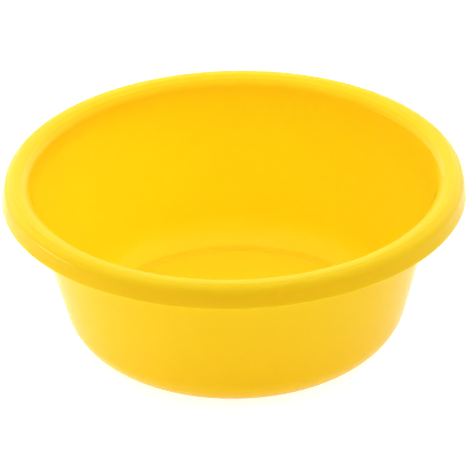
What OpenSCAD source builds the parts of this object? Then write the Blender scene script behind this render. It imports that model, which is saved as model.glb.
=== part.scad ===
// Round washing up bowl, moulded in one shot of polypropylene.
// Millimetres. +Z is up, and the origin is at the centre of the face that the foot rests on.
// One skin of even thickness runs from the middle of the floor to the lip of the rim's skirt.

/* [Bowl] */
// Outside diameter, across the lip of the rim's skirt
rim_d = 360; // [320:1:440]
// Overall height, from the foot to the top of the rim
bowl_h = 134; // [110:1:180]
// Thickness of the skin
skin_t = 2; // [1.6:0.1:3]
// Lean of the wall from upright, in degrees
wall_lean = 14; // [10:0.5:20]

/* [Rim] */
// Visible radius where the inside of the wall turns over into the rim
rim_inner_r = 11; // [8:0.5:14]
// Visible radius where the rim turns down into its skirt
rim_outer_r = 9; // [6:0.5:12]
// Width of the level strip between the two
rim_top_w = 1.2; // [0.4:0.1:6]
// Depth of the skirt's lip below the top of the rim
skirt_h = 17.5; // [14:0.5:26]
// Flare of the skirt's face from upright, in degrees
skirt_flare = 12; // [0:1:20]

/* [Base] */
// Outside radius of the upper part of the corner between wall and base
corner_upper_r = 38; // [20:1:45]
// Outside radius of the lower part of that corner
corner_lower_r = 9; // [5:0.5:14]
// Slope at which the two meet, in degrees from upright
corner_split = 55; // [40:1:70]
// Width of the level foot that the bowl rests on
foot_w = 4.5; // [3:0.5:12]
// Height by which the floor is raised inside the foot
floor_rise = 2.5; // [1:0.25:5]
// Slope of the step between the foot and the raised floor, in degrees
step_slope = 18; // [12:1:35]
// Visible radius at the foot of that step
step_lower_r = 4; // [2:0.5:8]
// Visible radius at its top
step_upper_r = 6; // [4:0.5:10]

/* [Gate mark] */
// Diameter of the mark that the moulding gate leaves in the middle of the underside
gate_d = 8; // [4:0.5:14]
// How far the mark stands out of the underside
gate_h = 0.8; // [0.3:0.1:0.9]

/* [Hidden] */

bowl_yellow = [1, 0.83, 0.05];

// How closely the curves are drawn: the most by which an arc's straight steps leave the true
// curve, and the number of sides in a full turn
arc_tolerance = 0.06;
turn_sides = 180;

// The lip is a round bead as wide as the skin is thick
lip_c = [rim_d / 2 - skin_t / 2, bowl_h - skirt_h + skin_t / 2];

// The rim's two arcs. The outer one is set so that the skirt's face just touches it and the lip.
rim_outer_z = bowl_h - rim_outer_r;
rim_outer_x = lip_c.x + (skin_t / 2 - rim_outer_r - sin(skirt_flare) * (rim_outer_z - lip_c.y))
                        / cos(skirt_flare);
rim_outer_c = [rim_outer_x, rim_outer_z];
rim_inner_c = [rim_outer_x - rim_top_w, bowl_h - rim_inner_r];

// The inside of the wall leaves the rim's inner arc here, and runs down at the wall's lean
wall_top = rim_inner_c + rim_inner_r * [-cos(wall_lean), sin(wall_lean)];
function wall_inside_x(z) = wall_top.x - (wall_top.y - z) * tan(wall_lean);

// The corner's two arcs share a tangent at the split, and the lower one ends level on the foot
upper_in_r = corner_upper_r - skin_t;
lower_in_r = corner_lower_r - skin_t;
lower_c_z = corner_lower_r;
upper_c_z = lower_c_z + (corner_upper_r - corner_lower_r) * sin(corner_split);
upper_top_z = upper_c_z - upper_in_r * sin(wall_lean);
upper_c_x = wall_inside_x(upper_top_z) - upper_in_r * cos(wall_lean);
upper_c = [upper_c_x, upper_c_z];
lower_c = [upper_c_x + (corner_upper_r - corner_lower_r) * cos(corner_split), lower_c_z];

// The step: a hollow arc rising from the foot, then a rounded one onto the floor
foot_in_x = lower_c.x - foot_w;
step_lower_c = [foot_in_x, skin_t + step_lower_r];
step_bend_rise = (step_lower_r + step_upper_r) * (1 - cos(step_slope));
step_run = (step_lower_r + step_upper_r) * sin(step_slope)
           + (floor_rise - step_bend_rise) / tan(step_slope);
step_upper_c = [foot_in_x - step_run, skin_t + floor_rise - step_upper_r];

// Steps that keep an arc of radius r, turning by angle, within the tolerance
function arc_steps(r, angle) = max(2, ceil(abs(angle) / (2 * acos(1 - arc_tolerance / r))));

// Points along an arc about c, from angle a to angle b
function arc(c, r, a, b) =
    let (steps = arc_steps(r, b - a))
    [for (i = [0 : steps]) let (t = a + (b - a) * i / steps) c + r * [cos(t), sin(t)]];

// One face of the skin, from the middle of the floor to the lip, at depth d under the visible
// face. An arc centred in the skin shrinks with depth, and one centred in the bowl grows.
function skin_face(d) = concat(
    [[0, skin_t + floor_rise - d]],
    arc(step_upper_c, step_upper_r - d, 90, 90 - step_slope),
    arc(step_lower_c, step_lower_r + d, 270 - step_slope, 270),
    arc(lower_c, lower_in_r + d, -90, -corner_split),
    arc(upper_c, upper_in_r + d, -corner_split, -wall_lean),
    arc(rim_inner_c, rim_inner_r - d, 180 - wall_lean, 90),
    arc(rim_outer_c, rim_outer_r - d, 90, skirt_flare)
);

function reversed(points) = [for (i = [len(points) - 1 : -1 : 0]) points[i]];

// Half of the bowl's section: the visible face, round the lip, and back along the hidden face
module half_section() {
    polygon(concat(
        skin_face(0),
        arc(lip_c, skin_t / 2, skirt_flare, skirt_flare - 180),
        reversed(skin_face(skin_t))
    ));
}

// Low round mark in the middle of the underside, clear of what the bowl stands on
module gate_mark() {
    translate([0, 0, floor_rise - gate_h])
        cylinder(d = gate_d, h = gate_h + skin_t / 2, $fn = 48);
}

module bowl() {
    color(bowl_yellow) union() {
        rotate_extrude($fn = turn_sides) half_section();
        gate_mark();
    }
}

bowl();
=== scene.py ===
import math

import bpy
import numpy as np
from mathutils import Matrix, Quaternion, Vector


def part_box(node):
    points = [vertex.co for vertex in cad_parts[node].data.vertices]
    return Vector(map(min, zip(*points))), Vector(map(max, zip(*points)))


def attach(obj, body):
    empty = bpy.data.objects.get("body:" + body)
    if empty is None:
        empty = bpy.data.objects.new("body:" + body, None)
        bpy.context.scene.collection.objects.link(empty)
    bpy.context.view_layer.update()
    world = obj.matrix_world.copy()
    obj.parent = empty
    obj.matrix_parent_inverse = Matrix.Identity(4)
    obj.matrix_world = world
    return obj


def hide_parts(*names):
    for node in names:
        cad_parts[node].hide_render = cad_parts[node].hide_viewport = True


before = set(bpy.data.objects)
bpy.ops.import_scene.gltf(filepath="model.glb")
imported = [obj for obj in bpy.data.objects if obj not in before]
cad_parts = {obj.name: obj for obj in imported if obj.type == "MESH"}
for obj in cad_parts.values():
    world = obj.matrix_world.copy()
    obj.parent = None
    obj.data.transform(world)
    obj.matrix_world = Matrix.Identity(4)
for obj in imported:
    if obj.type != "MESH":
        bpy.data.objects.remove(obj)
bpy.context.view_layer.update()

# The bowl
# A washing up bowl moulded in one shot of polypropylene, coloured yellow right through. Its
# floor, wall, rolled rim and the skirt under the rim are one skin, gated in the middle of the
# underside.

MM = 0.001

bowl_low, bowl_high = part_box("bowl")
bowl_size = bowl_high - bowl_low
RIM_RADIUS = min(bowl_size.x, bowl_size.y) / 2
HEIGHT = bowl_size.z

# The solid's own sizes. Its angles are in degrees from upright, but for the step's, from level.
SKIN = 2.0 * MM
WALL_LEAN = 14.0
RIM_INNER_RADIUS = 11.0 * MM
RIM_OUTER_RADIUS = 9.0 * MM
RIM_TOP_WIDTH = 1.2 * MM
SKIRT_HEIGHT = 17.5 * MM
SKIRT_FLARE = 12.0
CORNER_UPPER_RADIUS = 38.0 * MM
CORNER_LOWER_RADIUS = 9.0 * MM
CORNER_SPLIT = 55.0
FOOT_WIDTH = 4.5 * MM
FLOOR_RISE = 2.5 * MM
STEP_SLOPE = 18.0
STEP_LOWER_RADIUS = 4.0 * MM
STEP_UPPER_RADIUS = 6.0 * MM
GATE_RADIUS = 4.0 * MM
GATE_HEIGHT = 0.8 * MM

# Rounding at the edges of the gate mark, which the solid leaves sharp
GATE_EDGE = 0.3 * MM

# Fine rings on the rim, where the parts of the mould that shape it were turned and fitted. Each
# is drawn out to MOULD_LINE_SPAN of its widths on both sides.
MOULD_LINES = (160.6 * MM, 164.0 * MM, 172.0 * MM)
MOULD_LINE_WIDTH = 0.45 * MM
MOULD_LINE_DEPTH = 0.03 * MM
MOULD_LINE_SPAN = 2.5
MOULD_LINE_POINTS = 11

# The mesh: degrees in one step of an arc, the fewest steps in one, the length of a step along a
# straight, the distance at which two points are one, and the steps in a full turn
ARC_STEP = 4.0
ARC_STEPS_MIN = 3
STRAIGHT_STEP = 8.0 * MM
SAME_POINT = 0.001 * MM
TURN_STEPS = 240


def polar(centre, radius, degrees):
    """The points centre + radius * (cos, sin) of each angle, as rows of distance from the axis
    and height."""
    angle = np.radians(np.atleast_1d(degrees))
    return np.asarray(centre) + radius * np.stack([np.cos(angle), np.sin(angle)], axis=-1)


def arc(centre, radius, start, end):
    """An arc about centre from angle start to angle end, in even steps of at most ARC_STEP."""
    steps = max(ARC_STEPS_MIN, math.ceil(abs(end - start) / ARC_STEP))
    return polar(centre, radius, np.linspace(start, end, steps + 1))


def joined(*stretches):
    """The stretches end to end, with even points in each straight gap between two of them. An
    end point that two of them share is kept once."""
    parts = [stretches[0]]
    for stretch in stretches[1:]:
        gap = stretch[0] - parts[-1][-1]
        length = np.hypot(*gap)
        steps = max(1, math.ceil(length / STRAIGHT_STEP))
        share = np.arange(1, steps)[:, None] / steps
        parts += [parts[-1][-1] + share * gap, stretch[1:] if length < SAME_POINT else stretch]
    return np.concatenate(parts)


def circle_top(r, centre, radius):
    """The height of a circle's upper half at distance r from the axis: that of its centre plus
    sqrt(radius^2 - (r - centre)^2), where the root is 0 beyond the circle."""
    return centre[1] + np.sqrt(np.maximum(radius**2 - (r - centre[0])**2, 0))


def lined(rim, inner_centre, outer_centre):
    """The rim with its mould lines. The height at distance r from the axis is that of the inner
    circle, of the outer one, or of the level strip between the two, and each line sinks it by
    MOULD_LINE_DEPTH * exp(-((r - line) / MOULD_LINE_WIDTH)^2)."""
    lines = np.array(MOULD_LINES)[:, None]
    offsets = np.linspace(-MOULD_LINE_SPAN, MOULD_LINE_SPAN, MOULD_LINE_POINTS)
    near = lines + MOULD_LINE_WIDTH * offsets
    r = np.unique(np.concatenate([rim[:, 0], near.ravel()]))
    inner_z = circle_top(r, inner_centre, RIM_INNER_RADIUS)
    outer_z = circle_top(r, outer_centre, RIM_OUTER_RADIUS)
    past_inner_z = np.where(r >= outer_centre[0], outer_z, HEIGHT)
    z = np.where(r <= inner_centre[0], inner_z, past_inner_z)
    sunk = np.exp(-((r - lines) / MOULD_LINE_WIDTH)**2).sum(axis=0)
    return np.stack([r, z - MOULD_LINE_DEPTH * sunk], axis=-1)


def bowl_outline():
    """Half of the bowl's section, from the middle of the floor over the rim to the middle of the
    underside. Both faces of the skin are the same chain of arcs: at depth d under the visible
    face, an arc centred in the skin has its radius less d, and one centred in the bowl its
    radius plus d."""
    lip = np.array([RIM_RADIUS - SKIN / 2, HEIGHT - SKIRT_HEIGHT + SKIN / 2])
    flare, lean, split, slope = np.radians([SKIRT_FLARE, WALL_LEAN, CORNER_SPLIT, STEP_SLOPE])

    # The rim's outer arc lies where the skirt's face touches both it and the lip
    outer_z = HEIGHT - RIM_OUTER_RADIUS
    reach = SKIN / 2 - RIM_OUTER_RADIUS - math.sin(flare) * (outer_z - lip[1])
    rim_outer = np.array([lip[0] + reach / math.cos(flare), outer_z])
    rim_inner = np.array([rim_outer[0] - RIM_TOP_WIDTH, HEIGHT - RIM_INNER_RADIUS])
    wall_top = polar(rim_inner, RIM_INNER_RADIUS, 180 - WALL_LEAN)[0]

    # The corner's two arcs share a tangent where they meet, and the lower one ends on the foot
    upper_inside, lower_inside = CORNER_UPPER_RADIUS - SKIN, CORNER_LOWER_RADIUS - SKIN
    between = CORNER_UPPER_RADIUS - CORNER_LOWER_RADIUS
    upper_z = CORNER_LOWER_RADIUS + between * math.sin(split)
    wall_foot_z = upper_z - upper_inside * math.sin(lean)
    wall_foot_x = wall_top[0] - (wall_top[1] - wall_foot_z) * math.tan(lean)
    corner_upper = np.array([wall_foot_x - upper_inside * math.cos(lean), upper_z])
    corner_lower = corner_upper + between * np.array([math.cos(split), -math.sin(split)])

    # The step onto the raised floor is a hollow arc and then a rounded one
    bends = STEP_LOWER_RADIUS + STEP_UPPER_RADIUS
    run = bends * math.sin(slope) + (FLOOR_RISE - bends * (1 - math.cos(slope))) / math.tan(slope)
    foot_inside = corner_lower[0] - FOOT_WIDTH
    step_lower = (foot_inside, SKIN + STEP_LOWER_RADIUS)
    step_upper = (foot_inside - run, SKIN + FLOOR_RISE - STEP_UPPER_RADIUS)

    def face(depth):
        """The face of the skin at this depth, without the middle of the floor. Only the visible
        face, at depth 0, has the mould lines."""
        rim = joined(
            arc(rim_inner, RIM_INNER_RADIUS - depth, 180 - WALL_LEAN, 90),
            arc(rim_outer, RIM_OUTER_RADIUS - depth, 90, SKIRT_FLARE),
        )
        return joined(
            arc(step_upper, STEP_UPPER_RADIUS - depth, 90, 90 - STEP_SLOPE),
            arc(step_lower, STEP_LOWER_RADIUS + depth, 270 - STEP_SLOPE, 270),
            arc(corner_lower, lower_inside + depth, -90, -CORNER_SPLIT),
            arc(corner_upper, upper_inside + depth, -CORNER_SPLIT, -WALL_LEAN),
            rim if depth else lined(rim, rim_inner, rim_outer),
        )

    gate_z = FLOOR_RISE - GATE_HEIGHT
    gate_root = (GATE_RADIUS + GATE_EDGE, FLOOR_RISE - GATE_EDGE)
    gate_brow = (GATE_RADIUS - GATE_EDGE, gate_z + GATE_EDGE)
    return joined(
        np.array([[0, SKIN + FLOOR_RISE]]),
        face(0),
        arc(lip, SKIN / 2, SKIRT_FLARE, SKIRT_FLARE - 180),
        face(SKIN)[::-1],
        arc(gate_root, GATE_EDGE, 90, 180),
        arc(gate_brow, GATE_EDGE, 0, -90),
        np.array([[0, gate_z]]),
    )


def turned(name, outline, turns):
    """A solid of revolution: vertex (i, j) is outline point i at angle 2 pi j / turns about Z.
    The outline's first and last points lie on the axis, and each is one vertex with a fan."""
    inner = outline[1:-1]
    angle = 2 * np.pi * np.arange(turns) / turns
    x = inner[:, :1] * np.cos(angle)
    y = inner[:, :1] * np.sin(angle)
    z = np.broadcast_to(inner[:, 1:], x.shape)
    ring = np.stack([x, y, z], axis=-1).reshape(-1, 3)
    poles = np.array([[0, 0, outline[0, 1]], [0, 0, outline[-1, 1]]])
    points = np.concatenate([ring, poles])

    rows = len(inner)
    i, j = np.meshgrid(np.arange(rows - 1), np.arange(turns), indexing="ij")
    k = (j + 1) % turns
    quads = np.stack([i * turns + j, (i + 1) * turns + j, (i + 1) * turns + k, i * turns + k], -1)
    step = np.arange(turns)
    after = (step + 1) % turns
    first_pole, last_pole = rows * turns, rows * turns + 1
    first_fan = np.stack([np.full(turns, first_pole), step, after], -1)
    end_row = (rows - 1) * turns
    last_fan = np.stack([np.full(turns, last_pole), end_row + after, end_row + step], -1)

    mesh = bpy.data.meshes.new(name)
    faces = quads.reshape(-1, 4).tolist() + first_fan.tolist() + last_fan.tolist()
    mesh.from_pydata(points.tolist(), [], faces)
    mesh.polygons.foreach_set("use_smooth", np.ones(len(faces), dtype=bool))
    mesh.validate()
    piece = bpy.data.objects.new(name, mesh)
    bpy.context.scene.collection.objects.link(piece)
    return piece


def linear(hex_colour):
    """An sRGB hex colour as linear RGBA: c / 12.92 up to 0.04045, and above it
    ((c + 0.055) / 1.055)^2.4."""
    channels = [int(hex_colour[i:i + 2], 16) / 255 for i in (1, 3, 5)]
    return [c / 12.92 if c <= 0.04045 else ((c + 0.055) / 1.055) ** 2.4 for c in channels] + [1]


def add_node(tree, kind, settings=None, inputs=None):
    """Adds a node. settings holds its attributes, and inputs a value or a socket to link for each
    of its inputs."""
    node = tree.nodes.new(kind)
    for key, value in (settings or {}).items():
        setattr(node, key, value)
    for key, value in (inputs or {}).items():
        if isinstance(value, bpy.types.NodeSocket):
            tree.links.new(value, node.inputs[key])
        else:
            node.inputs[key].default_value = value
    return node


def new_material(name):
    """An empty node material, and its output node."""
    material = bpy.data.materials.new(name)
    material.use_nodes = True
    material.node_tree.nodes.clear()
    return material, material.node_tree.nodes.new("ShaderNodeOutputMaterial")


BOWL_YELLOW = "#FDC521"
BOWL_YELLOW_DEEP = "#FBC21D"
# Painted shade on the mould lines: a deeper yellow, and the width over which it fades out
MOULD_LINE_SHADE_YELLOW = "#F4BB1A"
LINE_SHADE_FADE = 1.6 * MOULD_LINE_WIDTH
RAMP_START, RAMP_END = 150.0 * MM, 180.0 * MM
GLOW_REACH = 15.0 * MM
GLOW_SHARES = (1.0, 0.7, 0.15)
GLOSS_IOR = 1.49
GLOSS_LEVEL = 0.12
GLOSS_TINT = "#FFF494"
PEEL_SIZE = 4.0 * MM
PEEL_DEPTH = 0.004 * MM
HAZE_SIZE = 45.0 * MM
HAZE_LOW, HAZE_HIGH = 0.3, 0.7
ROUGHNESS_LOW, ROUGHNESS_HIGH = 0.07, 0.13


def moulded_polypropylene():
    """Injection-moulded polypropylene: light enters the thin skin, comes out a little further on
    and warms the shaded side. A polished tool leaves it glossy, with a faint orange peel where
    the skin shrank, and a haze that breaks up the edges of reflections."""
    material, output = new_material("moulded_polypropylene")
    tree = material.node_tree
    place = add_node(tree, "ShaderNodeTexCoord").outputs["Object"]
    peel = add_node(tree, "ShaderNodeTexNoise", inputs={
        "Vector": place, "Scale": 1 / PEEL_SIZE, "Detail": 1.0, "Roughness": 0.4})
    haze = add_node(tree, "ShaderNodeTexNoise", inputs={
        "Vector": place, "Scale": 1 / HAZE_SIZE, "Detail": 3.0, "Roughness": 0.6})
    colour = add_node(tree, "ShaderNodeMix", {"data_type": "RGBA"})
    tree.links.new(haze.outputs["Fac"], colour.inputs["Factor"])
    colour.inputs[6].default_value = linear(BOWL_YELLOW)
    colour.inputs[7].default_value = linear(BOWL_YELLOW_DEEP)

    # Painted shade along the mould lines: the colour is a little deeper on each line, in place of
    # the shade that its shallow groove would show. The ramp runs over the distance from the axis,
    # from black beside a line to white on it.
    flat = add_node(tree, "ShaderNodeVectorMath", {"operation": "MULTIPLY"}, {
        0: place, 1: (1, 1, 0)})
    distance = add_node(tree, "ShaderNodeVectorMath", {"operation": "LENGTH"}, {
        0: flat.outputs["Vector"]})
    across = add_node(tree, "ShaderNodeMapRange", inputs={
        "Value": distance.outputs["Value"], "From Min": RAMP_START, "From Max": RAMP_END})
    ramp = add_node(tree, "ShaderNodeValToRGB", inputs={"Fac": across.outputs["Result"]})
    ramp.color_ramp.elements.remove(ramp.color_ramp.elements[1])
    ramp.color_ramp.elements[0].color = (0, 0, 0, 1)
    for line in MOULD_LINES:
        for offset, grey in ((-LINE_SHADE_FADE, 0), (0, 1), (LINE_SHADE_FADE, 0)):
            share = (line + offset - RAMP_START) / (RAMP_END - RAMP_START)
            ramp.color_ramp.elements.new(share).color = (grey, grey, grey, 1)
    line_shaded_colour = add_node(tree, "ShaderNodeMix", {"data_type": "RGBA"})
    tree.links.new(ramp.outputs["Color"], line_shaded_colour.inputs["Factor"])
    tree.links.new(colour.outputs[2], line_shaded_colour.inputs[6])
    line_shaded_colour.inputs[7].default_value = linear(MOULD_LINE_SHADE_YELLOW)

    roughness = add_node(tree, "ShaderNodeMapRange", inputs={
        "Value": haze.outputs["Fac"], "From Min": HAZE_LOW, "From Max": HAZE_HIGH,
        "To Min": ROUGHNESS_LOW, "To Max": ROUGHNESS_HIGH})
    bump = add_node(tree, "ShaderNodeBump", inputs={
        "Height": peel.outputs["Fac"], "Strength": 1.0, "Distance": PEEL_DEPTH})
    shader = add_node(tree, "ShaderNodeBsdfPrincipled", inputs={
        "Base Color": line_shaded_colour.outputs[2], "Roughness": roughness.outputs["Result"],
        "IOR": GLOSS_IOR, "Specular IOR Level": GLOSS_LEVEL, "Specular Tint": linear(GLOSS_TINT),
        "Subsurface Weight": 1.0, "Subsurface Radius": GLOW_SHARES,
        "Subsurface Scale": GLOW_REACH, "Normal": bump.outputs["Normal"]})
    tree.links.new(shader.outputs["BSDF"], output.inputs["Surface"])
    return material


bowl = turned("bowl_moulding", bowl_outline(), TURN_STEPS)
bowl.data.materials.append(moulded_polypropylene())
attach(bowl, "root")
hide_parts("bowl")

# The table
# A pale, level surface that runs past the edge of the picture, lit softly from below as tables
# for cut-out pictures are. The camera sees it as white, and it keeps the bowl's shadow.

# Just under the foot, so that the two faces don't share a plane
TABLE_TOP = -0.02 * MM
TABLE_SIZE = 14.0
TABLE_PALE = "#EDEDEB"
TABLE_GLOW = 0.44
TABLE_GLOW_SEEN = 0.8
TABLE_GLOW_MIRRORED = 0.5


def strength_by_ray(tree, lighting, mirrored, seen):
    """A socket that holds `seen` for a camera ray, `mirrored` for a glossy or transmission ray,
    and `lighting` for any other."""
    rays = add_node(tree, "ShaderNodeLightPath")
    by_way_of_gloss = add_node(tree, "ShaderNodeMath", {"operation": "MAXIMUM"}, {
        0: rays.outputs["Is Glossy Ray"], 1: rays.outputs["Is Transmission Ray"]})
    unseen = add_node(tree, "ShaderNodeMapRange", inputs={
        "Value": by_way_of_gloss.outputs["Value"], "To Min": lighting, "To Max": mirrored})
    strength = add_node(tree, "ShaderNodeMapRange", inputs={
        "Value": rays.outputs["Is Camera Ray"], "To Min": unseen.outputs["Result"],
        "To Max": seen})
    return strength.outputs["Result"]


def pale_table():
    """A matt pale surface with a glow of its own, which is stronger to glossy and transmission
    rays and strongest to the camera's, so that it shows as white."""
    material, output = new_material("pale_table")
    tree = material.node_tree
    matt = add_node(tree, "ShaderNodeBsdfDiffuse", inputs={"Color": linear(TABLE_PALE)})
    light = add_node(tree, "ShaderNodeEmission", inputs={
        "Strength": strength_by_ray(tree, TABLE_GLOW, TABLE_GLOW_MIRRORED, TABLE_GLOW_SEEN)})
    both = add_node(tree, "ShaderNodeAddShader", inputs={
        0: matt.outputs["BSDF"], 1: light.outputs["Emission"]})
    tree.links.new(both.outputs["Shader"], output.inputs["Surface"])
    return material


half = TABLE_SIZE / 2
table_mesh = bpy.data.meshes.new("table")
table_corners = [(-half, -half, TABLE_TOP), (half, -half, TABLE_TOP),
                 (half, half, TABLE_TOP), (-half, half, TABLE_TOP)]
table_mesh.from_pydata(table_corners, [], [(0, 1, 2, 3)])
table = bpy.data.objects.new("table", table_mesh)
table.data.materials.append(pale_table())
bpy.context.scene.collection.objects.link(table)

# The lamps
# Large softboxes overhead and on every side, with none low in front. A narrow one low on the
# left draws the long highlight on the rim. The camera sees none of them.

LIT_POINT = Vector((0, 0, 0.07))


def softbox(name, azimuth, elevation, distance, width, height, watts):
    """A rectangular lamp facing the bowl. Azimuth is in degrees from the front, by the right."""
    turn, rise = math.radians(azimuth), math.radians(elevation)
    level = math.cos(rise)
    away = Vector((level * math.sin(turn), -level * math.cos(turn), math.sin(rise)))
    lamp = bpy.data.lights.new(name, "AREA")
    lamp.shape = "RECTANGLE"
    lamp.size, lamp.size_y, lamp.energy = width, height, watts
    holder = bpy.data.objects.new(name, lamp)
    holder.location = away * distance
    holder.rotation_euler = (LIT_POINT - holder.location).to_track_quat("-Z", "Y").to_euler()
    holder.visible_camera = False
    bpy.context.scene.collection.objects.link(holder)


softbox("overhead", 0, 90, 1.8, 2.0, 1.6, 14.6)
softbox("front_top", 0, 70, 1.8, 1.4, 1.0, 3.6)
softbox("back_high", 180, 60, 1.8, 1.8, 1.2, 7.2)
softbox("back", 180, 30, 1.8, 1.4, 0.8, 2.2)
softbox("back_left", 225, 22, 1.8, 1.6, 1.1, 6.2)
softbox("back_right", 135, 22, 1.8, 1.6, 1.1, 5.9)
softbox("left", 270, 45, 1.8, 1.8, 1.3, 7.2)
softbox("right", 90, 45, 1.8, 1.8, 1.3, 10.2)
softbox("front_left", 315, 50, 1.8, 1.4, 1.0, 1.4)
softbox("left_low", 268, 5.5, 1.9, 0.8, 0.12, 8.6)

# The surroundings
# Nearly dark as a source of light, so that the lamps alone shape the bowl, and white to the
# camera and in reflections.

SURROUND_GLOW = 0.02
SURROUND_WHITE = 1.0

world = bpy.data.worlds.new("studio")
world.use_nodes = True
world.node_tree.nodes.clear()
surround = add_node(world.node_tree, "ShaderNodeBackground", inputs={
    "Strength": strength_by_ray(world.node_tree, SURROUND_GLOW, SURROUND_WHITE, SURROUND_WHITE)})
add_node(world.node_tree, "ShaderNodeOutputWorld", inputs={
    "Surface": surround.outputs["Background"]})
bpy.context.scene.world = world

# The camera
# Far off with a long lens, looking down over the front of the bowl, and turned a little about
# its own axis, as the photograph shows the rim sloping down to the left.

CAMERA_DISTANCE = 2.93
CAMERA_RISE = 30.969
CAMERA_ROLL = 1.245
CAMERA_AIM = Vector((0, 0, 0.07765))
FOCAL_PIXELS = 3708.2
PICTURE_PIXELS = 470
SENSOR_WIDTH = 36.0
CLIP_END = 50.0

camera = bpy.data.cameras.new("camera")
camera.sensor_width = SENSOR_WIDTH
camera.lens = FOCAL_PIXELS / PICTURE_PIXELS * SENSOR_WIDTH
camera.clip_end = CLIP_END
viewer = bpy.data.objects.new("camera", camera)
rise = math.radians(CAMERA_RISE)
viewer.location = (0, -CAMERA_DISTANCE * math.cos(rise), CAMERA_DISTANCE * math.sin(rise))
level = (CAMERA_AIM - viewer.location).to_track_quat("-Z", "Y")
viewer.rotation_mode = "QUATERNION"
viewer.rotation_quaternion = level @ Quaternion((0, 0, 1), -math.radians(CAMERA_ROLL))
bpy.context.scene.collection.objects.link(viewer)
bpy.context.scene.camera = viewer
bpy.context.scene.view_settings.view_transform = "Standard"
